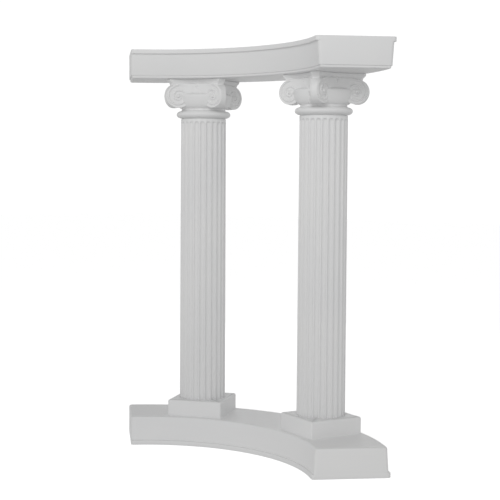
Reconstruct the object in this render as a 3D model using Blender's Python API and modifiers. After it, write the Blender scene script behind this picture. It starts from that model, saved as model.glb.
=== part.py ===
"""Curved colonnade section: a quarter of a ring on plan, with a curved base, two fluted columns with
corner-volute capitals, and a curved entablature. Metres, +Z up, the hollow of the curve towards -Y.
The origin is at the middle of the footprint's box, on the floor."""

import math

import bmesh
import bpy
from mathutils import Matrix, Vector

# Plan of the section
SECTION_ANGLE = math.radians(90.0)
INNER_RADIUS = 0.908
SECTION_WIDTH = 0.424
COLUMN_COUNT = 2
COLUMN_SETBACK = 0.209

# Base and its plinth blocks
BASE_HEIGHT = 0.163
FOOT_LIP_HEIGHT = 0.026
BASE_EDGE_ROUND = 0.010
PLINTH_HEIGHT = 0.095
PLINTH_MARGIN = 0.0275
PLINTH_CORNER_ROUND = 0.009
PLINTH_EDGE_ROUND = 0.012
PLINTH_FOOT_FILLET = 0.008

# Entablature
ENTABLATURE_HEIGHT = 0.163
TOP_LIP_HEIGHT = 0.025
SOFFIT_STEP_HEIGHT = 0.015
SOFFIT_STEP_DEPTH = 0.006
SOFFIT_EDGE_ROUND = 0.008

# What base and entablature share
LIP_REACH = 0.012
LIP_ROUND = 0.004
WALL_DRAFT = 0.008
CORNER_ROUND = 0.020

# Shafts
SHAFT_HEIGHT = 1.642
SHAFT_FOOT_RADIUS = 0.1345
SHAFT_TOP_RADIUS = 0.1320
FLUTE_COUNT = 24
FLUTE_DEPTH = 0.0100
FLUTE_FULLNESS = 0.7
ARRIS_WIDTH = 0.0060
SHAFT_COLLAR_HEIGHT = 0.016
FLUTE_FADE_HEIGHT = 0.014

# Capitals: ring, necking and echinus
RING_REST_HEIGHT = 0.005
RING_HEIGHT = 0.042
RING_PROUD = 0.026
NECK_INSET = 0.004
NECK_CLEARANCE = 0.014
ECHINUS_PROUD = 0.034

# Capitals: corner volutes
VOLUTE_RADIUS = 0.067
VOLUTE_REACH = 0.249
VOLUTE_SEAT = 0.004
VOLUTE_RIM_WIDTH = 0.030
VOLUTE_WEDGE = math.radians(20.0)
SCROLL_TURNS = 1.8
SCROLL_TIGHTENING = 1.2
SCROLL_FILLET_RADIUS = 0.0052
SCROLL_SINK = 0.0009
EYE_RADIUS = 0.011
EYE_SINK = 0.002

# Capitals: abacus and its rosettes
ABACUS_HEIGHT = 0.036
ABACUS_REACH = 0.228
ABACUS_DRAW_IN = 0.018
ABACUS_MIDDLE_DRAW_IN = 0.006
ABACUS_CORNER_WIDTH = 0.040
ABACUS_HOLLOW = 0.041
ABACUS_CORE_INSET = 0.012
ROSETTE_RADIUS = 0.026
ROSETTE_ROOT_RADIUS = 0.018
ROSETTE_BACK_RADIUS = 0.022
ROSETTE_HEART_RADIUS = 0.012
ROSETTE_PROUD = 0.016
PETAL_PROUD = 0.010
ROSETTE_ROOT = 0.020
ROSETTE_DROP = 0.006
PETAL_COUNT = 5
PETAL_NOTCH = 0.28

# Air left between pieces that stand on each other
SEAT_GAP = 0.0003

# Facets
ARC_STEPS = 22
CORNER_STEPS = 3
ROUND_STEPS = 2
FLUTE_STEPS = 4
TURN_STEPS = 20
RING_STEPS = 5
ECHINUS_STEPS = 3
HOLLOW_STEPS = 6
VOLUTE_STEPS = 18
SCROLL_STEPS_PER_TURN = 10
EYE_STEPS = 6

# Fitted sizes
OUTER_RADIUS = INNER_RADIUS + SECTION_WIDTH
COLUMN_CIRCLE = INNER_RADIUS + COLUMN_SETBACK
COLUMN_PITCH = SECTION_ANGLE / COLUMN_COUNT
PLINTH_HALF = SHAFT_FOOT_RADIUS + PLINTH_MARGIN
PLINTH_TOP = BASE_HEIGHT + PLINTH_HEIGHT
CAPITAL_FOOT = PLINTH_TOP + SHAFT_HEIGHT

# Fitted sizes within a capital, with heights from its foot
RING_TOP = RING_REST_HEIGHT + RING_HEIGHT
VOLUTE_FOOT = RING_TOP + NECK_CLEARANCE
VOLUTE_HEIGHT = VOLUTE_FOOT + VOLUTE_RADIUS
VOLUTE_CENTRE_REACH = VOLUTE_REACH - VOLUTE_RADIUS
ABACUS_FOOT = VOLUTE_HEIGHT + VOLUTE_RADIUS - VOLUTE_SEAT
CAPITAL_HEIGHT = ABACUS_FOOT + ABACUS_HEIGHT
CHANNEL_FOOT = VOLUTE_HEIGHT + EYE_RADIUS / 2
CHANNEL_TOP = ABACUS_FOOT + ABACUS_HEIGHT / 4
CHANNEL_HOLLOW = ABACUS_HOLLOW / 2
NECK_RADIUS = SHAFT_TOP_RADIUS - NECK_INSET

CAPITAL_TOP = CAPITAL_FOOT + CAPITAL_HEIGHT
TOTAL_HEIGHT = CAPITAL_TOP + ENTABLATURE_HEIGHT


def clear_scene():
    for thing in list(bpy.data.objects):
        bpy.data.objects.remove(thing, do_unlink=True)


def new_collection(name, helpers=False):
    group = bpy.data.collections.new(name)
    group.hide_render = helpers
    bpy.context.scene.collection.children.link(group)
    return group


def plastic(name, color, roughness):
    material = bpy.data.materials.new(name)
    material.use_nodes = True
    shader = material.node_tree.nodes["Principled BSDF"]
    shader.inputs["Base Color"].default_value = (*color, 1.0)
    shader.inputs["Roughness"].default_value = roughness
    shader.inputs["Metallic"].default_value = 0.0
    return material


def shade(mesh, angle=35.0):
    mesh.shade_smooth()
    mesh.set_sharp_from_angle(angle=math.radians(angle))


def keep(name, shape, group):
    """Turns a finished bmesh into an object."""
    mesh = bpy.data.meshes.new(name)
    shape.to_mesh(mesh)
    shape.free()
    thing = bpy.data.objects.new(name, mesh)
    group.objects.link(thing)
    return thing


def loft(name, sections, group):
    """A closed solid through outlines of equally many points, listed from the bottom up."""
    shape = bmesh.new()
    rings = [[shape.verts.new(point) for point in section] for section in sections]
    for low, high in zip(rings, rings[1:]):
        for i, (a, b) in enumerate(zip(low, high)):
            j = (i + 1) % len(low)
            shape.faces.new((a, low[j], high[j], b))
    shape.faces.new(reversed(rings[0]))
    shape.faces.new(rings[-1])
    return keep(name, shape, group)


def polar(radius, angle):
    """A point on a circle about the origin, with its angle measured from +Y towards +X."""
    return radius * math.sin(angle), radius * math.cos(angle)


def arc(centre, radius, start, stop, steps):
    turns = [start + (stop - start) * i / steps for i in range(steps + 1)]
    return [(centre[0] + x, centre[1] + y) for x, y in (polar(radius, turn) for turn in turns)]


def ring_sector(side_inset, end_inset, corner):
    """The section's outline about the ring's centre, with its curved sides and its ends drawn in and
    its four corners rounded."""
    half = SECTION_ANGLE / 2
    inner = INNER_RADIUS + side_inset
    outer = OUTER_RADIUS - side_inset
    near = half - math.asin((end_inset + corner) / (inner + corner))
    far = half - math.asin((end_inset + corner) / (outer - corner))
    square = math.pi / 2
    right = arc(polar(inner + corner, near), corner, near + math.pi, half + square, CORNER_STEPS)
    right += arc(polar(outer - corner, far), corner, half + square, far, CORNER_STEPS)
    left = [(-x, y) for x, y in reversed(right)]
    front = arc((0, 0), inner, -near, near, ARC_STEPS)[1:-1]
    back = arc((0, 0), outer, far, -far, ARC_STEPS)[1:-1]
    return front + right + back + left


# The ring's centre lies this far along Y from the middle of the footprint
PLAN_SHIFT = -(min(y for _, y in ring_sector(0.0, 0.0, CORNER_ROUND)) + OUTER_RADIUS) / 2


def tray_section(side_inset, end_inset, height):
    corner = max(CORNER_ROUND - end_inset, LIP_ROUND)
    return [(x, y + PLAN_SHIFT, height) for x, y in ring_sector(side_inset, end_inset, corner)]


def quarter_round(radius):
    """Insets and heights along a quarter round that turns an upright wall into a level face."""
    turns = [math.pi / 2 * i / ROUND_STEPS for i in range(ROUND_STEPS + 1)]
    return [(radius * (1 - math.cos(turn)), radius * math.sin(turn)) for turn in turns]


def base_levels():
    """Side insets, end insets and heights from the floor up. The lip and the draft are on the curved
    sides alone: the ends are plain, upright faces that meet the next section."""
    wall_top = LIP_REACH + WALL_DRAFT
    edge_foot = BASE_HEIGHT - BASE_EDGE_ROUND
    levels = [(0.0, 0.0, 0.0)]
    levels += [(x, 0.0, FOOT_LIP_HEIGHT - LIP_ROUND + z) for x, z in quarter_round(LIP_ROUND)]
    levels += [(LIP_REACH, 0.0, FOOT_LIP_HEIGHT + LIP_ROUND)]
    levels += [(wall_top + x, x, edge_foot + z) for x, z in quarter_round(BASE_EDGE_ROUND)]
    return levels


def entablature_levels():
    """The same for the entablature, with heights measured down from its top. The small step above its
    foot runs round the ends too."""
    wall_foot = LIP_REACH + WALL_DRAFT
    band = wall_foot + SOFFIT_STEP_DEPTH
    step = ENTABLATURE_HEIGHT - SOFFIT_STEP_HEIGHT
    edge_head = ENTABLATURE_HEIGHT - SEAT_GAP - SOFFIT_EDGE_ROUND
    levels = [(LIP_ROUND / 2, LIP_ROUND / 2, 0.0), (0.0, 0.0, LIP_ROUND / 2)]
    levels += [(x, 0.0, TOP_LIP_HEIGHT - LIP_ROUND + z) for x, z in quarter_round(LIP_ROUND)]
    levels += [(LIP_REACH, 0.0, TOP_LIP_HEIGHT + LIP_ROUND / 2)]
    levels += [(wall_foot, 0.0, step), (band, SOFFIT_STEP_DEPTH, step + SOFFIT_STEP_DEPTH / 2)]
    levels += [(band + x, SOFFIT_STEP_DEPTH + x, edge_head + z) for x, z in quarter_round(SOFFIT_EDGE_ROUND)]
    return levels


def rounded_square(half, corner, height):
    points = []
    for side in range(4):
        turn = side * math.pi / 2
        centre = Matrix.Rotation(-turn, 2) @ Vector((half - corner, half - corner))
        points += arc(centre, corner, turn, turn + math.pi / 2, CORNER_STEPS)
    return [(x, y, height) for x, y in reversed(points)]


def column_angles():
    first = -COLUMN_PITCH * (COLUMN_COUNT - 1) / 2
    return [first + COLUMN_PITCH * i for i in range(COLUMN_COUNT)]


def column_place(angle, height):
    """Where a column's piece stands, turned so that its front faces the middle of the ring."""
    x, y = polar(COLUMN_CIRCLE, angle)
    return Matrix.Translation((x, y + PLAN_SHIFT, height)) @ Matrix.Rotation(-angle, 4, "Z")


def plinth_block(name, group):
    """One square block with soft edges, which runs down into the base to be joined to it."""
    foot = PLINTH_HALF + PLINTH_FOOT_FILLET
    edge_foot = PLINTH_HEIGHT - PLINTH_EDGE_ROUND
    levels = [(foot, -BASE_HEIGHT / 2)]
    levels += [(foot - z, x) for x, z in quarter_round(PLINTH_FOOT_FILLET)]
    levels += [(PLINTH_HALF - x, edge_foot + z) for x, z in quarter_round(PLINTH_EDGE_ROUND)]
    return loft(name, [rounded_square(half, PLINTH_CORNER_ROUND, height) for half, height in levels], group)


def join(body, others):
    for other in others:
        union = body.modifiers.new("join " + other.name, "BOOLEAN")
        union.operation = "UNION"
        union.solver = "EXACT"
        union.object = other
        other.hide_render = True
        other.display_type = "WIRE"


def make_base(group, helpers, material):
    base = loft("base", [tray_section(*level) for level in base_levels()], group)
    blocks = []
    for number, angle in enumerate(column_angles()):
        block = plinth_block("plinth block %d" % number, helpers)
        block.matrix_world = column_place(angle, BASE_HEIGHT)
        blocks.append(block)
    join(base, blocks)
    base.data.materials.append(material)
    shade(base.data)
    return base


def make_entablature(group, material):
    levels = reversed(entablature_levels())
    sections = [tray_section(side, end, TOTAL_HEIGHT - depth) for side, end, depth in levels]
    entablature = loft("entablature", sections, group)
    entablature.data.materials.append(material)
    shade(entablature.data)
    return entablature


def fluted_outline(radius, depth, height):
    """One turn of the shaft's outline: a flat arris, then a hollow flute, all round."""
    pitch = 2 * math.pi / FLUTE_COUNT
    arris = ARRIS_WIDTH / SHAFT_FOOT_RADIUS
    points = []
    for flute in range(FLUTE_COUNT):
        start = flute * pitch - pitch / 2 + arris / 2
        for i in range(FLUTE_STEPS + 1):
            share = i / FLUTE_STEPS
            angle = start + (pitch - arris) * share
            reach = radius - depth * math.sin(math.pi * share) ** FLUTE_FULLNESS
            points.append((reach * math.cos(angle), reach * math.sin(angle), height))
    return points


def make_shaft(name, group, material):
    """A tapered shaft whose flutes run down to the plinth and slope out below the collar."""
    flute_end = SHAFT_HEIGHT - SHAFT_COLLAR_HEIGHT

    def radius_at(height):
        return SHAFT_FOOT_RADIUS + (SHAFT_TOP_RADIUS - SHAFT_FOOT_RADIUS) * height / SHAFT_HEIGHT

    levels = [
        (SEAT_GAP, FLUTE_DEPTH),
        (flute_end - FLUTE_FADE_HEIGHT, FLUTE_DEPTH),
        (flute_end, 0.0),
        (SHAFT_HEIGHT, 0.0),
    ]
    sections = [fluted_outline(radius_at(height), depth, height) for height, depth in levels]
    shaft = loft(name, sections, group)
    shaft.data.materials.append(material)
    shade(shaft.data, 25.0)
    return shaft


def turned(name, profile, group):
    """A solid of revolution about Z from a profile that runs from the axis at the top to the axis below.
    It starts a quarter of a facet round, so that no facet's edge lies in a plane of symmetry."""
    start = math.pi / (2 * TURN_STEPS)
    mesh = bpy.data.meshes.new(name)
    points = [(radius * math.cos(start), radius * math.sin(start), height) for radius, height in profile]
    mesh.from_pydata(points, [(i, i + 1) for i in range(len(points) - 1)], [])
    thing = bpy.data.objects.new(name, mesh)
    group.objects.link(thing)
    screw = thing.modifiers.new("turn", "SCREW")
    screw.steps = TURN_STEPS
    screw.render_steps = TURN_STEPS
    screw.use_merge_vertices = True
    screw.merge_threshold = 0.0001
    return thing


def as_mesh(thing, group):
    """The evaluated shape of a curve or a modified mesh as a mesh object of its own."""
    graph = bpy.context.evaluated_depsgraph_get()
    graph.update()
    mesh = bpy.data.meshes.new_from_object(thing.evaluated_get(graph))
    shape = bmesh.new()
    shape.from_mesh(mesh)
    bmesh.ops.remove_doubles(shape, verts=shape.verts, dist=0.00001)
    name = thing.name
    place = thing.matrix_world.copy()
    bpy.data.objects.remove(thing, do_unlink=True)
    solid = keep(name, shape, group)
    solid.matrix_world = place
    return solid


def drum_profile():
    """Ring, necking and echinus, from the top down, and the core that carries the abacus."""
    head = ABACUS_FOOT + ABACUS_HEIGHT / 2
    echinus = SHAFT_TOP_RADIUS + ECHINUS_PROUD
    echinus_top = VOLUTE_HEIGHT + EYE_RADIUS
    rise = echinus_top - VOLUTE_FOOT
    core = side_reach(ABACUS_REACH - ABACUS_DRAW_IN, ABACUS_CORNER_WIDTH, ABACUS_HOLLOW) - ABACUS_CORE_INSET
    profile = [(0.0, head), (core, head)]
    profile += [(core, echinus_top + EYE_RADIUS), (echinus - EYE_RADIUS, echinus_top)]
    for i in range(1, ECHINUS_STEPS + 1):
        turn = math.pi / 2 * i / ECHINUS_STEPS
        reach = NECK_RADIUS + (echinus - NECK_RADIUS) * math.cos(turn)
        profile.append((reach, echinus_top - rise * math.sin(turn)))
    ring_middle = RING_REST_HEIGHT + RING_HEIGHT / 2
    swell = SHAFT_TOP_RADIUS + RING_PROUD - NECK_RADIUS
    for i in range(RING_STEPS + 1):
        turn = math.pi * i / RING_STEPS
        reach = NECK_RADIUS + swell * math.sin(turn)
        profile.append((reach, ring_middle + RING_HEIGHT / 2 * math.cos(turn)))
    profile += [(NECK_RADIUS, SEAT_GAP), (0.0, SEAT_GAP)]
    return profile


def hollow_square(reach, corner_width, hollow, height):
    """A square with hollow sides and cut corners, its corners on the diagonals."""
    corner = Vector((reach, 0.0))
    cut = Vector((0.0, corner_width / 2))
    points = []
    for side in range(4):
        start = Matrix.Rotation(corner_turn(side), 2) @ (corner + cut)
        stop = Matrix.Rotation(corner_turn(side + 1), 2) @ (corner - cut)
        inward = -((start + stop) / 2).normalized()
        for i in range(HOLLOW_STEPS + 1):
            share = i / HOLLOW_STEPS
            sag = hollow * (1 - (2 * share - 1) ** 2)
            point = start.lerp(stop, share) + inward * sag
            points.append((point.x, point.y, height))
    return points


def side_reach(reach, corner_width, hollow):
    """How far the middle of such a square's side is from the axis."""
    return (reach + corner_width / 2) * math.cos(math.pi / 4) - hollow


def abacus(group):
    """The slab on top, which draws in towards its foot."""
    levels = [
        (ABACUS_REACH - ABACUS_DRAW_IN, ABACUS_FOOT),
        (ABACUS_REACH - ABACUS_MIDDLE_DRAW_IN, ABACUS_FOOT + ABACUS_HEIGHT / 2),
        (ABACUS_REACH, CAPITAL_HEIGHT),
    ]
    sections = [hollow_square(reach, ABACUS_CORNER_WIDTH, ABACUS_HOLLOW, height) for reach, height in levels]
    return loft("abacus", sections, group)


def rim_half_width(reach):
    """Half of a volute's thickness at a distance from the column's axis."""
    return VOLUTE_RIM_WIDTH / 2 + (VOLUTE_REACH - reach) * math.tan(VOLUTE_WEDGE)


def channel_block(group):
    """The block between the volutes, behind the echinus and below the abacus."""
    width = 2 * (rim_half_width(VOLUTE_CENTRE_REACH) - SCROLL_FILLET_RADIUS)
    heights = (CHANNEL_FOOT, CHANNEL_TOP)
    sections = [hollow_square(VOLUTE_CENTRE_REACH, width, CHANNEL_HOLLOW, height) for height in heights]
    return loft("channel block", sections, group)


def corner_turn(number):
    return math.pi / 4 + number * math.pi / 2


def volute(number, group):
    """One corner volute: a disc on edge along the diagonal, thicker towards the column."""
    shape = bmesh.new()
    bmesh.ops.create_cone(
        shape, cap_ends=True, segments=VOLUTE_STEPS, radius1=VOLUTE_RADIUS, radius2=VOLUTE_RADIUS, depth=1.0,
        matrix=Matrix.Rotation(math.pi / 2, 4, "X"),
    )
    for vertex in shape.verts:
        vertex.co.x += VOLUTE_CENTRE_REACH
        vertex.co.z += VOLUTE_HEIGHT
        vertex.co.y = math.copysign(rim_half_width(vertex.co.x), vertex.co.y)
    bmesh.ops.rotate(shape, verts=shape.verts, matrix=Matrix.Rotation(corner_turn(number), 3, "Z"))
    return keep("volute %d" % number, shape, group)


def cheek_label(side):
    return "left" if side > 0 else "right"


def scroll_points(side):
    """The scroll's middle line on one cheek of a volute, from the top of the rim in to the eye."""
    outer = VOLUTE_RADIUS - SCROLL_FILLET_RADIUS
    steps = round(SCROLL_TURNS * SCROLL_STEPS_PER_TURN)
    points = []
    for i in range(steps + 1):
        share = i / steps
        radius = EYE_RADIUS + (outer - EYE_RADIUS) * (1 - share) ** SCROLL_TIGHTENING
        angle = 2 * math.pi * SCROLL_TURNS * share
        reach = VOLUTE_CENTRE_REACH + radius * math.sin(angle)
        height = VOLUTE_HEIGHT + radius * math.cos(angle)
        points.append((reach, side * (rim_half_width(reach) - SCROLL_SINK), height))
    return points


def scroll(number, side, group):
    """The raised fillet that winds along one cheek of a volute."""
    name = "scroll %d %s" % (number, cheek_label(side))
    curve = bpy.data.curves.new(name, "CURVE")
    curve.dimensions = "3D"
    curve.bevel_depth = SCROLL_FILLET_RADIUS
    curve.bevel_resolution = 0
    curve.use_fill_caps = True
    points = scroll_points(side)
    spline = curve.splines.new("POLY")
    spline.points.add(len(points) - 1)
    for target, point in zip(spline.points, points):
        target.co = (*point, 1.0)
    thing = bpy.data.objects.new(name, curve)
    thing.matrix_world = Matrix.Rotation(corner_turn(number), 4, "Z")
    group.objects.link(thing)
    return as_mesh(thing, group)


def eye(number, side, group):
    """The raised button at the middle of a scroll."""
    shape = bmesh.new()
    bmesh.ops.create_uvsphere(shape, u_segments=EYE_STEPS, v_segments=4, radius=EYE_RADIUS)
    cheek = rim_half_width(VOLUTE_CENTRE_REACH) - EYE_SINK
    place = Vector((VOLUTE_CENTRE_REACH, side * cheek, VOLUTE_HEIGHT))
    bmesh.ops.translate(shape, verts=shape.verts, vec=place)
    bmesh.ops.rotate(shape, verts=shape.verts, matrix=Matrix.Rotation(corner_turn(number), 3, "Z"))
    return keep("eye %d %s" % (number, cheek_label(side)), shape, group)


def rosette(number, group):
    """The small flower at the foot of the abacus, in the middle of each side."""
    face = side_reach(ABACUS_REACH - ABACUS_DRAW_IN, ABACUS_CORNER_WIDTH, ABACUS_HOLLOW)
    levels = [
        (ROSETTE_ROOT_RADIUS, -ROSETTE_ROOT),
        (ROSETTE_BACK_RADIUS, 0.0),
        (ROSETTE_RADIUS, PETAL_PROUD),
        (ROSETTE_HEART_RADIUS, ROSETTE_PROUD),
    ]
    sections = []
    for radius, proud in levels:
        outline = []
        for i in range(2 * PETAL_COUNT):
            angle = math.pi * i / PETAL_COUNT
            reach = radius * (1.0 - PETAL_NOTCH * (i % 2))
            outline.append((reach * math.cos(angle), reach * math.sin(angle), proud))
        sections.append(outline)
    thing = loft("rosette %d" % number, sections, group)
    centre = Vector((face, 0.0, ABACUS_FOOT - ROSETTE_DROP))
    stand = Matrix.Translation(centre) @ Matrix.Rotation(math.pi / 2, 4, "Y")
    thing.matrix_world = Matrix.Rotation(number * math.pi / 2, 4, "Z") @ stand
    return thing


def make_capital_mesh(helpers):
    body = turned("capital drum", drum_profile(), helpers)
    others = [abacus(helpers), channel_block(helpers)]
    for number in range(4):
        others.append(volute(number, helpers))
        others.append(rosette(number, helpers))
        for side in (-1, 1):
            others.append(scroll(number, side, helpers))
            others.append(eye(number, side, helpers))
    join(body, others)
    capital = as_mesh(body, helpers)
    mesh = capital.data
    bpy.data.objects.remove(capital)
    return mesh


def column_name(number):
    """The two columns of the section are left and right; in a longer one they are numbered."""
    return ("left", "right")[number] if COLUMN_COUNT == 2 else "%d" % (number + 1)


def build():
    clear_scene()
    group = new_collection("curved colonnade section")
    helpers = new_collection("joined shapes", helpers=True)
    tray_plastic = plastic("white moulded plastic", (0.80, 0.80, 0.80), 0.45)
    column_plastic = plastic("white column plastic", (0.82, 0.82, 0.82), 0.50)
    make_base(group, helpers, tray_plastic)
    make_entablature(group, tray_plastic)
    capital_mesh = make_capital_mesh(helpers)
    capital_mesh.materials.append(column_plastic)
    shade(capital_mesh)
    for number, angle in enumerate(column_angles()):
        shaft = make_shaft("shaft_" + column_name(number), group, column_plastic)
        shaft.matrix_world = column_place(angle, PLINTH_TOP)
        capital = bpy.data.objects.new("capital_" + column_name(number), capital_mesh.copy())
        group.objects.link(capital)
        capital.matrix_world = column_place(angle, CAPITAL_FOOT)


build()
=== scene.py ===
import math
import bmesh
import bpy
from mathutils import Matrix, Vector


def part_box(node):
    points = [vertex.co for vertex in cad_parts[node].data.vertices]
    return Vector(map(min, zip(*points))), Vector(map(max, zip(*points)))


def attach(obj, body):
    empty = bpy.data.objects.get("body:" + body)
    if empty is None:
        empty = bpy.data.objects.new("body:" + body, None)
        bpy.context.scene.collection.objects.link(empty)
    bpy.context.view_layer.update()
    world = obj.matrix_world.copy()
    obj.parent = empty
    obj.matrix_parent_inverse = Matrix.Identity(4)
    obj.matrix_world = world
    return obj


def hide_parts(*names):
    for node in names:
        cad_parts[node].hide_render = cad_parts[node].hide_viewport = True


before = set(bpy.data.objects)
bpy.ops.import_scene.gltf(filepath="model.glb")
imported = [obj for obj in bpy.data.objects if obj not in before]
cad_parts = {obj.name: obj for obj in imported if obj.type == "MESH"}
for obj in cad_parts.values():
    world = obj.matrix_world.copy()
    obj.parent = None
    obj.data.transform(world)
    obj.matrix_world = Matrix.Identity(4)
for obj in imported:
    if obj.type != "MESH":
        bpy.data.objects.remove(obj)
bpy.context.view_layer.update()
print("frame loaded")

mesh, transform = bpy.ops.mesh, bpy.ops.transform

# where the solids stand
baseLow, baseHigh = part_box("base")
beamLow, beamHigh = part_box("entablature")
plan = {
    "outerRadius": 1.332,
    "innerRadius": 0.908,
    "halfAngle": math.radians(45),
    "sweepSteps": 44,
    "cornerRound": 0.020,
    "cornerSteps": 6,
}
ringCentre = Vector((0, baseHigh.y - plan["outerRadius"], 0))
middleRadius = (plan["outerRadius"] + plan["innerRadius"]) / 2


# small helpers for working as by hand

def startPiece(name):
    bpy.ops.object.select_all(action="DESELECT")
    mesh.primitive_plane_add(size=0.01, location=(0, 0, 0))
    piece = bpy.context.object
    piece.name = piece.data.name = name
    return piece


def editPiece():
    bpy.ops.object.mode_set(mode="EDIT")
    mesh.select_mode(type="VERT")


def leaveEdit():
    bpy.ops.object.mode_set(mode="OBJECT")


def pick(test):  # selects the points whose place passes the test
    mesh.select_all(action="DESELECT")
    shape = bmesh.from_edit_mesh(bpy.context.edit_object.data)
    for point in shape.verts:
        if test(point.co):
            point.select_set(True)
    shape.select_flush_mode()
    bmesh.update_edit_mesh(bpy.context.edit_object.data)


def drawLoop(points):  # one point, extruded along the outline and closed
    mesh.select_all(action="SELECT")
    mesh.merge(type="CENTER")
    transform.translate(value=points[0])
    for before, after in zip(points, points[1:] + points[:1]):
        mesh.extrude_region_move(TRANSFORM_OT_translate={"value": after - before})
    mesh.select_all(action="SELECT")
    mesh.remove_doubles(threshold=0.00002)


def drawPath(points):  # the same, left open
    mesh.select_all(action="SELECT")
    mesh.merge(type="CENTER")
    transform.translate(value=points[0])
    for before, after in zip(points, points[1:]):
        mesh.extrude_region_move(TRANSFORM_OT_translate={"value": after - before})
    mesh.select_all(action="SELECT")


def applyModifier(piece, kind, **settings):
    bpy.context.view_layer.objects.active = piece
    modifier = piece.modifiers.new(kind.lower(), kind)
    for name, value in settings.items():
        setattr(modifier, name, value)
    bpy.ops.object.modifier_apply(modifier=modifier.name)


def onlyPiece(piece):
    bpy.ops.object.select_all(action="DESELECT")
    piece.select_set(True)
    bpy.context.view_layer.objects.active = piece


def settle(piece, location=(0, 0, 0), turn=0.0):  # puts the place into the mesh
    onlyPiece(piece)
    piece.location = location
    piece.rotation_euler.z = turn
    bpy.ops.object.transform_apply(location=True, rotation=True, scale=True)


def joinPieces(pieces):
    onlyPiece(pieces[0])
    for piece in pieces[1:]:
        piece.select_set(True)
    bpy.ops.object.join()
    return bpy.context.object


def copyPiece(piece, name):
    onlyPiece(piece)
    bpy.ops.object.duplicate(linked=False)
    twin = bpy.context.object
    twin.name = twin.data.name = name
    return twin


def roundTurn(centre, radius, start, stop, steps):  # points on an arc in the outline's plane
    turns = [start + (stop - start) * step / steps for step in range(steps + 1)]
    return [(centre[0] + radius * math.cos(turn), centre[1] + radius * math.sin(turn)) for turn in turns]


# moulded plastic

def plasticFinish(name, tone, grain, sheen):
    material = bpy.data.materials.new(name)
    material.use_nodes = True
    nodes, links = material.node_tree.nodes, material.node_tree.links
    shader = nodes["Principled BSDF"]
    place = nodes.new("ShaderNodeTexCoord")
    clouds = nodes.new("ShaderNodeTexNoise")  # slow changes of the white
    clouds.inputs["Scale"].default_value = 1.7
    clouds.inputs["Detail"].default_value = 3
    tint = nodes.new("ShaderNodeValToRGB")
    tint.color_ramp.elements[0].position = 0.30
    tint.color_ramp.elements[0].color = (tone * 0.965, tone * 0.968, tone * 0.972, 1)
    tint.color_ramp.elements[1].position = 0.72
    tint.color_ramp.elements[1].color = (tone * 1.01, tone * 1.01, tone * 1.005, 1)
    scuffs = nodes.new("ShaderNodeTexNoise")  # handling marks, seen only in the sheen
    scuffs.inputs["Scale"].default_value = 14
    scuffs.inputs["Detail"].default_value = 6
    scuffs.inputs["Roughness"].default_value = 0.65
    polish = nodes.new("ShaderNodeMapRange")
    polish.inputs["From Min"].default_value = 0.3
    polish.inputs["From Max"].default_value = 0.7
    polish.inputs["To Min"].default_value = sheen
    polish.inputs["To Max"].default_value = sheen + 0.14
    skin = nodes.new("ShaderNodeTexNoise")  # fine orange peel of the moulding
    skin.inputs["Scale"].default_value = grain
    skin.inputs["Detail"].default_value = 2
    relief = nodes.new("ShaderNodeBump")
    relief.inputs["Strength"].default_value = 0.10
    relief.inputs["Distance"].default_value = 0.0004
    links.new(place.outputs["Object"], clouds.inputs["Vector"])
    links.new(place.outputs["Object"], scuffs.inputs["Vector"])
    links.new(place.outputs["Object"], skin.inputs["Vector"])
    links.new(clouds.outputs["Fac"], tint.inputs["Fac"])
    links.new(tint.outputs["Color"], shader.inputs["Base Color"])
    links.new(scuffs.outputs["Fac"], polish.inputs["Value"])
    links.new(polish.outputs["Result"], shader.inputs["Roughness"])
    links.new(skin.outputs["Fac"], relief.inputs["Height"])
    links.new(relief.outputs["Normal"], shader.inputs["Normal"])
    shader.inputs["IOR"].default_value = 1.46
    return material


trayPlastic = plasticFinish("white tray plastic", 0.80, 260, 0.42)
columnPlastic = plasticFinish("white column plastic", 0.81, 320, 0.46)


def finishPiece(piece, node, material, smoothAngle=35):
    onlyPiece(piece)
    bpy.ops.object.shade_smooth_by_angle(angle=math.radians(smoothAngle))
    piece.data.materials.clear()
    piece.data.materials.append(material)
    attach(piece, "root")
    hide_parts(node)
    print(piece.name, "done,", len(piece.data.polygons), "faces")


# the curved trays: an outline swept half-way round the ring, its end drawn in to soft corners, and mirrored

def sweepTray(name, outline):
    piece = startPiece(name)
    editPiece()
    drawLoop([Vector((0, radius, height)) for radius, height in outline])
    corner = plan["cornerRound"] / middleRadius
    mesh.spin(steps=plan["sweepSteps"], angle=plan["halfAngle"] - corner, center=(0, 0, 0), axis=(0, 0, 1))
    leaveEdit()
    sideways = sum(point.co.x for point in piece.data.vertices) > 0  # which way the sweep went
    editPiece()
    pick(lambda co: abs(co.x) < 0.00001)
    done, lastWide = 0.0, 1.0
    for step in range(1, plan["cornerSteps"] + 1):
        turn = math.pi / 2 * step / plan["cornerSteps"]
        along = corner * math.sin(turn)
        wide = 1 - 2 * plan["cornerRound"] * (1 - math.cos(turn)) / (plan["outerRadius"] - plan["innerRadius"])
        mesh.spin(steps=1, angle=-(along - done), center=(0, 0, 0), axis=(0, 0, 1))
        transform.resize(value=(1, wide / lastWide, 1), center_override=(0, middleRadius, 0))
        done, lastWide = along, wide
    mesh.edge_face_add()
    leaveEdit()
    settle(piece, turn=(1 if sideways else -1) * (plan["halfAngle"] - corner))
    applyModifier(piece, "MIRROR", use_axis=(True, False, False), use_mirror_merge=True, merge_threshold=0.0002)
    editPiece()
    mesh.select_all(action="SELECT")
    mesh.normals_make_consistent(inside=False)
    leaveEdit()
    settle(piece, location=ringCentre)
    return piece


def pickLevel(height):
    pick(lambda co: abs(co.z - height) < 0.00001)


def roundRim(height, radius, segments):  # softens the edge of the level face at this height, ends too
    pickLevel(height)
    mesh.dissolve_faces()
    pickLevel(height)
    mesh.region_to_loop()
    mesh.bevel(offset=radius, segments=segments, profile=0.5)
    mesh.select_mode(type="VERT")


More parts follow.
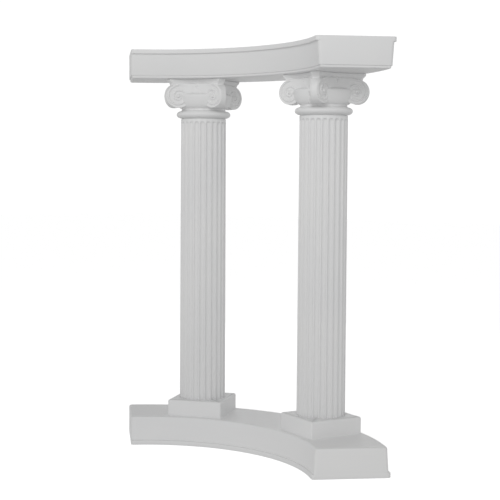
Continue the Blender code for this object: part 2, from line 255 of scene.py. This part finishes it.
def mirrored(side):  # an inner wall's outline, and the same for the outer wall, as one closed outline
    inner = [(plan["innerRadius"] + inset, height) for inset, height in side]
    outer = [(plan["outerRadius"] - inset, height) for inset, height in reversed(side)]
    return inner + outer


baseTray = {
    "height": baseLow.z + 0.163,
    "lipHeight": 0.026,
    "lipReach": 0.012,
    "lipRound": 0.004,
    "lipCove": 0.003,
    "draft": 0.008,
    "edgeRound": 0.010,
    "footRound": 0.0015,
}


def baseOutline():
    tray = baseTray
    lip, turn, reach, cove = tray["lipHeight"], tray["lipRound"], tray["lipReach"], tray["lipCove"]
    side = [(0.0, baseLow.z)]
    side += roundTurn((turn, lip - turn), turn, math.pi, math.pi / 2, 5)
    side += roundTurn((reach - cove, lip + cove), cove, -math.pi / 2, 0, 4)
    side += [(reach + tray["draft"], tray["height"])]
    return mirrored(side)


base = sweepTray("base_moulding", baseOutline())
editPiece()
roundRim(baseTray["height"], baseTray["edgeRound"], 6)
roundRim(baseLow.z, baseTray["footRound"], 2)
leaveEdit()

plinthBlock = {
    "half": 0.162,
    "foot": 0.163,
    "height": 0.095,
    "cornerRound": 0.009,
    "edgeRound": 0.012,
    "footFillet": 0.008,
    "root": 0.03,
    "blank": 0.04,
}


def plinth(name, column):
    block = plinthBlock
    low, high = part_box(column)
    bpy.ops.object.select_all(action="DESELECT")
    top = block["foot"] + block["height"]
    mesh.primitive_cube_add(size=1, location=(0, 0, block["foot"] + block["footFillet"] + block["blank"] / 2))
    piece = bpy.context.object
    piece.name = piece.data.name = name
    piece.scale = (2 * block["half"], 2 * block["half"], block["blank"])
    bpy.ops.object.transform_apply(location=True, rotation=True, scale=True)
    editPiece()
    pick(lambda co: co.z > block["foot"] + block["blank"] / 2)
    transform.translate(value=(0, 0, top - block["foot"] - block["footFillet"] - block["blank"]))
    mesh.select_mode(type="EDGE")
    mesh.select_all(action="DESELECT")
    shape = bmesh.from_edit_mesh(piece.data)
    for edge in shape.edges:
        edge.select_set(abs(edge.verts[0].co.z - edge.verts[1].co.z) > block["blank"] / 2)
    bmesh.update_edit_mesh(piece.data)
    mesh.bevel(offset=block["cornerRound"], segments=7, profile=0.5)
    mesh.select_mode(type="VERT")
    pick(lambda co: co.z > top - 0.001)
    mesh.bevel(offset=block["edgeRound"], segments=5, profile=0.5)
    foot = block["foot"] + block["footFillet"]
    pick(lambda co: co.z < foot + 0.0001)
    mesh.delete(type="ONLY_FACE")
    pick(lambda co: co.z < foot + 0.0001)
    fillet, steps = block["footFillet"], 5
    before = (0.0, 1.0)
    for step in range(1, steps + 1):
        turn = math.pi / 2 * step / steps
        down, out = fillet * math.sin(turn), 1 + fillet * (1 - math.cos(turn)) / block["half"]
        mesh.extrude_region_move(TRANSFORM_OT_translate={"value": (0, 0, before[0] - down)})
        transform.resize(value=(out / before[1], out / before[1], 1), center_override=(0, 0, 0))
        before = (down, out)
    mesh.extrude_region_move(TRANSFORM_OT_translate={"value": (0, 0, -block["root"])})
    mesh.edge_face_add()
    mesh.select_all(action="SELECT")
    mesh.normals_make_consistent(inside=False)
    leaveEdit()
    centre = (low + high) / 2
    settle(piece, location=(centre.x, centre.y, 0), turn=-math.atan2(centre.x, centre.y - ringCentre.y))
    return piece


for block in (plinth("plinth_left", "shaft_left"), plinth("plinth_right", "shaft_right")):
    applyModifier(base, "BOOLEAN", operation="UNION", solver="EXACT", object=block)
    bpy.data.objects.remove(block)
finishPiece(base, "base", trayPlastic, 30)

beam = {
    "top": beamHigh.z,
    "foot": beamLow.z,
    "lipHeight": 0.025,
    "lipReach": 0.012,
    "lipRound": 0.004,
    "lipCove": 0.003,
    "topRound": 0.002,
    "draft": 0.008,
    "stepHeight": 0.015,
    "stepDepth": 0.006,
    "stepSoft": 0.001,
    "edgeRound": 0.008,
}


def beamOutline():
    lipFoot = beam["top"] - beam["lipHeight"]
    turn, reach, cove = beam["lipRound"], beam["lipReach"], beam["lipCove"]
    side = [(0.0, beam["top"])]
    side += roundTurn((turn, lipFoot + turn), turn, math.pi, 1.5 * math.pi, 5)
    side += roundTurn((reach - cove, lipFoot - cove), cove, math.pi / 2, 0, 4)
    side += [(reach + beam["draft"], beam["foot"] + beam["stepHeight"])]
    return mirrored(side)


entablature = sweepTray("entablature_moulding", beamOutline())
stepLevel = beam["foot"] + beam["stepHeight"]
editPiece()
roundRim(beam["top"], beam["topRound"], 3)
roundRim(stepLevel, beam["stepSoft"], 2)
pickLevel(stepLevel)
mesh.inset(thickness=beam["stepDepth"] - beam["stepSoft"], depth=0)
mesh.extrude_region_move(TRANSFORM_OT_translate={"value": (0, 0, -beam["stepHeight"])})
roundRim(beam["foot"], beam["edgeRound"], 6)
leaveEdit()
finishPiece(entablature, "entablature", trayPlastic, 30)

# fluted shafts

shaft = {
    "footRadius": 0.1345,
    "topRadius": 0.1320,
    "flutes": 24,
    "fluteDepth": 0.010,
    "arris": 0.006,
    "collar": 0.016,
    "softEdge": 0.0011,
    "facets": 240,
}


def flutedShaft():
    low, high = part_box("shaft_left")
    tall = high.z - low.z
    bpy.ops.object.select_all(action="DESELECT")
    mesh.primitive_cylinder_add(vertices=shaft["facets"], radius=shaft["footRadius"], depth=tall,
                                location=(0, 0, tall / 2), end_fill_type="NGON")
    piece = bpy.context.object
    bpy.ops.object.transform_apply(location=True, rotation=True, scale=True)
    narrowing = shaft["topRadius"] / shaft["footRadius"]
    editPiece()
    pick(lambda co: co.z > tall / 2)
    transform.resize(value=(narrowing, narrowing, 1), center_override=(0, 0, 0))
    leaveEdit()
    pitch = 2 * math.pi / shaft["flutes"]
    half = shaft["footRadius"] * math.sin(pitch / 2) - shaft["arris"] / 2
    cutRadius = (half ** 2 + shaft["fluteDepth"] ** 2) / (2 * shaft["fluteDepth"])
    cutReach = shaft["footRadius"] - shaft["fluteDepth"] + cutRadius
    headCentre = tall - shaft["collar"] - half
    bpy.ops.object.select_all(action="DESELECT")
    mesh.primitive_cylinder_add(vertices=48, radius=cutRadius, depth=headCentre + 0.05,
                                location=(cutReach, 0, (headCentre - 0.05) / 2), end_fill_type="NGON")
    cutter = bpy.context.object
    bpy.ops.object.transform_apply(location=True, rotation=True, scale=True)
    editPiece()
    pick(lambda co: co.z > headCentre - 0.001)
    before = (0.0, 1.0)
    steps = 9
    for step in range(1, steps):
        turn = math.pi / 2 * step / steps
        up, wide = cutRadius * math.sin(turn), math.cos(turn)
        mesh.extrude_region_move(TRANSFORM_OT_translate={"value": (0, 0, up - before[0])})
        transform.resize(value=(wide / before[1],) * 2 + (1,), center_override=(cutReach, 0, 0))
        before = (up, wide)
    pick(lambda co: co.z > headCentre - 0.001)
    transform.resize(value=(narrowing, narrowing, 1), center_override=(0, 0, 0))
    mesh.select_all(action="SELECT")
    mesh.normals_make_consistent(inside=False)
    mesh.spin(steps=shaft["flutes"] - 1, dupli=True, angle=2 * math.pi - pitch, center=(0, 0, 0), axis=(0, 0, 1))
    leaveEdit()
    applyModifier(piece, "BOOLEAN", operation="DIFFERENCE", solver="EXACT", object=cutter)
    bpy.data.objects.remove(cutter)
    applyModifier(piece, "BEVEL", width=shaft["softEdge"], segments=2, limit_method="ANGLE",
                  angle_limit=math.radians(40), miter_outer="MITER_ARC", use_clamp_overlap=True)
    return piece


plainShaft = flutedShaft()
for side in ("left", "right"):
    low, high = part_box("shaft_" + side)
    centre = (low + high) / 2
    piece = copyPiece(plainShaft, "fluted_shaft_" + side)
    settle(piece, location=(centre.x, centre.y, low.z), turn=-math.atan2(centre.x, centre.y - ringCentre.y))
    finishPiece(piece, "shaft_" + side, columnPlastic, 30)
bpy.data.objects.remove(plainShaft)

# capitals

capital = {
    "seatGap": 0.0003,
    "shaftRadius": 0.132,
    "neckRadius": 0.128,
    "ringRest": 0.005,
    "ringHeight": 0.042,
    "ringProud": 0.026,
    "echinusFoot": 0.061,
    "echinusTop": 0.139,
    "echinusProud": 0.034,
    "echinusShoulder": ((0.010, 0.003), (0.002, -0.002)),
    "echinusCap": 0.012,
    "abacusFoot": 0.191,
    "abacusTop": 0.227,
    "abacusReach": 0.228,
    "abacusDrawIn": 0.018,
    "abacusCorner": 0.040,
    "abacusHollow": 0.041,
    "voluteRadius": 0.067,
    "voluteReach": 0.249,
    "voluteCentre": 0.128,
    "rimWidth": 0.030,
    "wedge": math.radians(20),
    "channelInset": 0.010,
    "channelSink": 0.009,
    "rimBorder": 0.007,
    "dish": 0.004,
    "scrollTurns": 1.9,
    "scrollFillet": 0.0048,
    "eyeRadius": 0.012,
    "eyeSink": 0.003,
    "rosetteRadius": 0.026,
    "rosetteDrop": 0.006,
    "petals": 5,
    "petalProud": 0.012,
    "heartProud": 0.016,
    "backProud": 0.008,
    "voxel": 0.0019,
    "facesKept": 75000,
}
voluteMiddle = capital["voluteReach"] - capital["voluteRadius"]


def drum():
    piece = startPiece("drum")
    neck, top = capital["neckRadius"], capital["echinusTop"]
    widest = capital["shaftRadius"] + capital["echinusProud"]
    head = (capital["abacusFoot"] + capital["abacusTop"]) / 2
    line = [(0, head), (neck, head), (neck, top + capital["echinusCap"])]
    line += [(widest - inset, top + rise) for inset, rise in capital["echinusShoulder"]]
    rise = top - capital["echinusFoot"]
    for step in range(1, 13):
        turn = math.pi / 2 * step / 12
        line.append((neck + (widest - neck) * math.cos(turn), top - rise * math.sin(turn)))
    middle = capital["ringRest"] + capital["ringHeight"] / 2
    swell = capital["shaftRadius"] + capital["ringProud"] - neck
    line += [(neck + swell * math.sin(math.pi * step / 16), middle + capital["ringHeight"] / 2
              * math.cos(math.pi * step / 16)) for step in range(17)]
    line += [(neck, capital["seatGap"]), (0, capital["seatGap"])]
    editPiece()
    drawPath([Vector((radius, 0, height)) for radius, height in line])
    mesh.spin(steps=120, angle=2 * math.pi, center=(0, 0, 0), axis=(0, 0, 1))
    mesh.select_all(action="SELECT")
    mesh.remove_doubles(threshold=0.00005)
    mesh.normals_make_consistent(inside=False)
    leaveEdit()
    return piece


def hollowSquare(reach, cornerWidth, hollow, height, steps=20):
    points = []
    for side in range(4):
        first, second = math.pi / 4 + side * math.pi / 2, math.pi / 4 + (side + 1) * math.pi / 2
        start = Matrix.Rotation(first, 2) @ Vector((reach, cornerWidth / 2))
        stop = Matrix.Rotation(second, 2) @ Vector((reach, -cornerWidth / 2))
        inward = -((start + stop) / 2).normalized()
        for step in range(steps + 1):
            share = step / steps
            place = start.lerp(stop, share) + inward * hollow * (1 - (2 * share - 1) ** 2)
            points.append(Vector((place.x, place.y, height)))
    return points


def slab(name, outline, levels):  # an outline filled, extruded and resized level by level
    piece = startPiece(name)
    editPiece()
    drawLoop(outline)
    mesh.edge_face_add()
    for (before, low), (after, high) in zip(levels, levels[1:]):
        mesh.extrude_region_move(TRANSFORM_OT_translate={"value": (0, 0, high - low)})
        transform.resize(value=(after / before, after / before, 1), center_override=(0, 0, 0))
    mesh.select_all(action="SELECT")
    mesh.normals_make_consistent(inside=False)
    leaveEdit()
    return piece


def abacus():
    low, top, reach = capital["abacusFoot"], capital["abacusTop"], capital["abacusReach"]
    tall, draw = top - low, capital["abacusDrawIn"]
    shares = [(1.0, 0.0), (0.97, 0.12), (0.86, 0.26), (0.66, 0.40), (0.42, 0.50), (0.34, 0.52), (0.34, 0.58),
              (0.20, 0.60), (0.07, 0.70), (0.0, 0.82), (0.0, 0.94), (0.04, 1.0)]
    levels = [(reach - draw * inset, low + tall * rise) for inset, rise in shares]
    outline = hollowSquare(levels[0][0], capital["abacusCorner"], capital["abacusHollow"], low)
    return slab("abacus", outline, levels)


def halfWidth(reach):
    return capital["rimWidth"] / 2 + (capital["voluteReach"] - reach) * math.tan(capital["wedge"])


def channel():
    width = 2 * halfWidth(voluteMiddle) - capital["channelInset"]
    levels = [(voluteMiddle, capital["voluteCentre"]), (voluteMiddle, capital["abacusFoot"] + capital["channelSink"])]
    return slab("channel", hollowSquare(voluteMiddle, width, capital["abacusHollow"] / 2, levels[0][1]), levels)


def volute():
    bpy.ops.object.select_all(action="DESELECT")
    rim = capital["rimWidth"] / 2
    mesh.primitive_cylinder_add(vertices=96, radius=capital["voluteRadius"], depth=2 * rim,
                                location=(voluteMiddle, 0, capital["voluteCentre"]),
                                rotation=(math.pi / 2, 0, 0), end_fill_type="NGON")
    piece = bpy.context.object
    bpy.ops.object.transform_apply(location=True, rotation=True, scale=True)
    editPiece()
    for cheek in (1, -1):
        pick(lambda co: co.y * cheek > rim / 2)
        mesh.inset(thickness=capital["rimBorder"], depth=0)
        transform.translate(value=(0, -cheek * capital["dish"], 0))
        pick(lambda co: co.y * cheek > rim / 4)
        shape = bmesh.from_edit_mesh(piece.data)
        for point in shape.verts:  # the cheek leans out towards the column
            if point.select:
                point.co.y += cheek * (halfWidth(point.co.x) - rim)
        bmesh.update_edit_mesh(piece.data)
    mesh.select_all(action="SELECT")
    mesh.normals_make_consistent(inside=False)
    leaveEdit()
    return piece


def scroll(cheek):
    outer = capital["voluteRadius"] - capital["rimBorder"] * 0.6
    steps = 90
    path = []
    for step in range(steps + 1):
        share = step / steps
        radius = capital["eyeRadius"] + (outer - capital["eyeRadius"]) * (1 - share) ** 1.2
        angle = 2 * math.pi * capital["scrollTurns"] * share
        reach = voluteMiddle + radius * math.sin(angle)
        path.append(Vector((reach, cheek * (halfWidth(reach) - capital["dish"] * 0.6),
                            capital["voluteCentre"] + radius * math.cos(angle))))
    piece = startPiece("scroll")
    editPiece()
    drawPath(path)
    leaveEdit()
    onlyPiece(piece)
    bpy.ops.object.convert(target="CURVE")
    piece = bpy.context.object
    piece.data.bevel_depth = capital["scrollFillet"]
    piece.data.bevel_resolution = 3
    piece.data.use_fill_caps = True
    bpy.ops.object.convert(target="MESH")
    return bpy.context.object


def eye(cheek):
    bpy.ops.object.select_all(action="DESELECT")
    mesh.primitive_uv_sphere_add(segments=24, ring_count=12, radius=capital["eyeRadius"],
                                 location=(voluteMiddle, cheek * (halfWidth(voluteMiddle) - capital["eyeSink"]),
                                           capital["voluteCentre"]))
    bpy.ops.object.transform_apply(location=True, rotation=True, scale=True)
    return bpy.context.object


def rosette():
    face = (capital["abacusReach"] - capital["abacusDrawIn"] + capital["abacusCorner"] / 2) * math.cos(math.pi / 4)
    face -= capital["abacusHollow"]
    height = capital["abacusFoot"] - capital["rosetteDrop"]
    size = capital["rosetteRadius"]
    parts = []
    bpy.ops.object.select_all(action="DESELECT")
    mesh.primitive_uv_sphere_add(segments=20, ring_count=12, radius=1, location=(face, 0, height + size * 0.58))
    petals = bpy.context.object
    petals.scale = (capital["petalProud"], size * 0.36, size * 0.44)
    bpy.ops.object.transform_apply(location=True, rotation=True, scale=True)
    editPiece()
    mesh.select_all(action="SELECT")
    others = capital["petals"] - 1
    mesh.spin(steps=others, dupli=True, angle=2 * math.pi * others / capital["petals"],
              center=(face, 0, height), axis=(1, 0, 0))
    leaveEdit()
    parts.append(petals)
    for radius, depth in ((size * 0.34, capital["heartProud"]), (size * 0.62, capital["backProud"])):
        mesh.primitive_uv_sphere_add(segments=20, ring_count=12, radius=1, location=(face, 0, height))
        button = bpy.context.object
        button.scale = (depth, radius, radius)
        bpy.ops.object.transform_apply(location=True, rotation=True, scale=True)
        parts.append(button)
    return joinPieces(parts)


def ringOfFour(piece, first):
    copies = []
    for number in range(4):
        twin = copyPiece(piece, piece.name)
        settle(twin, turn=first + number * math.pi / 2)
        copies.append(twin)
    bpy.data.objects.remove(piece)
    return copies


def mouldedCapital():
    horn = joinPieces([volute(), scroll(1), scroll(-1), eye(1), eye(-1)])
    parts = [drum(), abacus(), channel()] + ringOfFour(horn, math.pi / 4) + ringOfFour(rosette(), 0.0)
    piece = joinPieces(parts)
    applyModifier(piece, "REMESH", mode="VOXEL", voxel_size=capital["voxel"])
    applyModifier(piece, "SMOOTH", factor=0.5, iterations=2)
    faces = len(piece.data.polygons)
    applyModifier(piece, "DECIMATE", ratio=min(1.0, capital["facesKept"] / faces))
    print("capital remeshed from", faces, "faces")
    return piece


plainCapital = mouldedCapital()
for side in ("left", "right"):
    low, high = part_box("capital_" + side)
    centre = (low + high) / 2
    piece = copyPiece(plainCapital, "volute_capital_" + side)
    settle(piece, location=(centre.x, centre.y, low.z - capital["seatGap"]),
           turn=-math.atan2(centre.x, centre.y - ringCentre.y))
    finishPiece(piece, "capital_" + side, columnPlastic, 50)
bpy.data.objects.remove(plainCapital)

# floor, light and camera

floorLook = {
    "size": 60,
    "tone": 0.9,
    "roughness": 0.9,
    "glow": 0.60,
}


def paleFloor():
    bpy.ops.object.select_all(action="DESELECT")
    mesh.primitive_plane_add(size=floorLook["size"], location=(0, 0, 0))
    floor = bpy.context.object
    floor.name = "floor"
    material = bpy.data.materials.new("pale floor")
    material.use_nodes = True
    shader = material.node_tree.nodes["Principled BSDF"]
    shader.inputs["Base Color"].default_value = (floorLook["tone"],) * 3 + (1,)
    shader.inputs["Roughness"].default_value = floorLook["roughness"]
    shader.inputs["Specular IOR Level"].default_value = 0.1
    shader.inputs["Emission Color"].default_value = (1, 1, 1, 1)
    shader.inputs["Emission Strength"].default_value = floorLook["glow"]
    floor.data.materials.append(material)
    floor.visible_diffuse = False
    floor.visible_glossy = False
    floor.visible_shadow = False


paleFloor()

studio = {
    "backdrop": 1.05,
    "ambient": 0.79,
    "below": 0.34,
    "above": 0.26,
    "key": 86.0,
    "keyPlace": (2.2, -5.0, 4.4),
    "keySize": 3.0,
    "fill": 14.0,
    "fillPlace": (-3.2, 4.6, 2.4),
    "fillSize": 3.0,
}


def studioWorld():
    world = bpy.data.worlds.new("studio")
    bpy.context.scene.world = world
    world.use_nodes = True
    nodes, links = world.node_tree.nodes, world.node_tree.links
    nodes.clear()
    output = nodes.new("ShaderNodeOutputWorld")
    around = nodes.new("ShaderNodeBackground")
    seen = nodes.new("ShaderNodeBackground")
    seen.inputs["Color"].default_value = (1, 1, 1, 1)
    seen.inputs["Strength"].default_value = studio["backdrop"]
    mix = nodes.new("ShaderNodeMixShader")
    ray = nodes.new("ShaderNodeLightPath")
    place = nodes.new("ShaderNodeTexCoord")
    split = nodes.new("ShaderNodeSeparateXYZ")
    ramp = nodes.new("ShaderNodeValToRGB")
    level = nodes.new("ShaderNodeMapRange")
    level.inputs["From Min"].default_value = -1
    links.new(place.outputs["Generated"], split.inputs["Vector"])
    links.new(split.outputs["Z"], level.inputs["Value"])
    links.new(level.outputs["Result"], ramp.inputs["Fac"])
    links.new(ramp.outputs["Color"], around.inputs["Color"])
    stops = ramp.color_ramp.elements
    stops[0].position, stops[0].color = 0.0, (studio["below"],) * 3 + (1,)
    stops[1].position, stops[1].color = 1.0, (studio["above"],) * 3 + (1,)
    middle = stops.new(0.5)
    middle.color = (studio["ambient"],) * 3 + (1,)
    links.new(ray.outputs["Is Camera Ray"], mix.inputs["Fac"])
    links.new(around.outputs["Background"], mix.inputs[1])
    links.new(seen.outputs["Background"], mix.inputs[2])
    links.new(mix.outputs["Shader"], output.inputs["Surface"])


def softLight(name, place, target, size, power):
    bpy.ops.object.light_add(type="AREA", location=place)
    light = bpy.context.object
    light.name = name
    light.data.shape = "DISK"
    light.data.size = size
    light.data.energy = power
    light.visible_camera = False
    light.rotation_euler = (Vector(target) - Vector(place)).to_track_quat("-Z", "Y").to_euler()


studioWorld()
softLight("key light", studio["keyPlace"], (0, 0, 1.2), studio["keySize"], studio["key"])
softLight("fill light", studio["fillPlace"], (0, 0, 1.2), studio["fillSize"], studio["fill"])

view = {
    "lens": 87.63,
    "eye": (4.20469, -4.47440, 1.59136),
    "heading": math.radians(-37.8568),
    "pitch": math.radians(3.64775),
    "roll": math.radians(0.37715),
}


def photoCamera():
    bpy.ops.object.camera_add()
    camera = bpy.context.object
    camera.data.lens = view["lens"]
    camera.data.sensor_width = 36
    camera.data.clip_end = 200
    heading, pitch, roll = view["heading"], view["pitch"], view["roll"]
    ahead = Vector((math.sin(heading) * math.cos(pitch), math.cos(heading) * math.cos(pitch), -math.sin(pitch)))
    right = Vector((math.cos(heading), -math.sin(heading), 0))
    up = right.cross(ahead)
    rolledRight = right * math.cos(roll) + up * math.sin(roll)
    rolledUp = -right * math.sin(roll) + up * math.cos(roll)
    camera.matrix_world = Matrix.Translation(ringCentre + Vector(view["eye"])) @ Matrix(
        (rolledRight, rolledUp, -ahead)).transposed().to_4x4()
    bpy.context.scene.camera = camera


photoCamera()
bpy.context.scene.view_settings.view_transform = "Standard"
print("stage set")
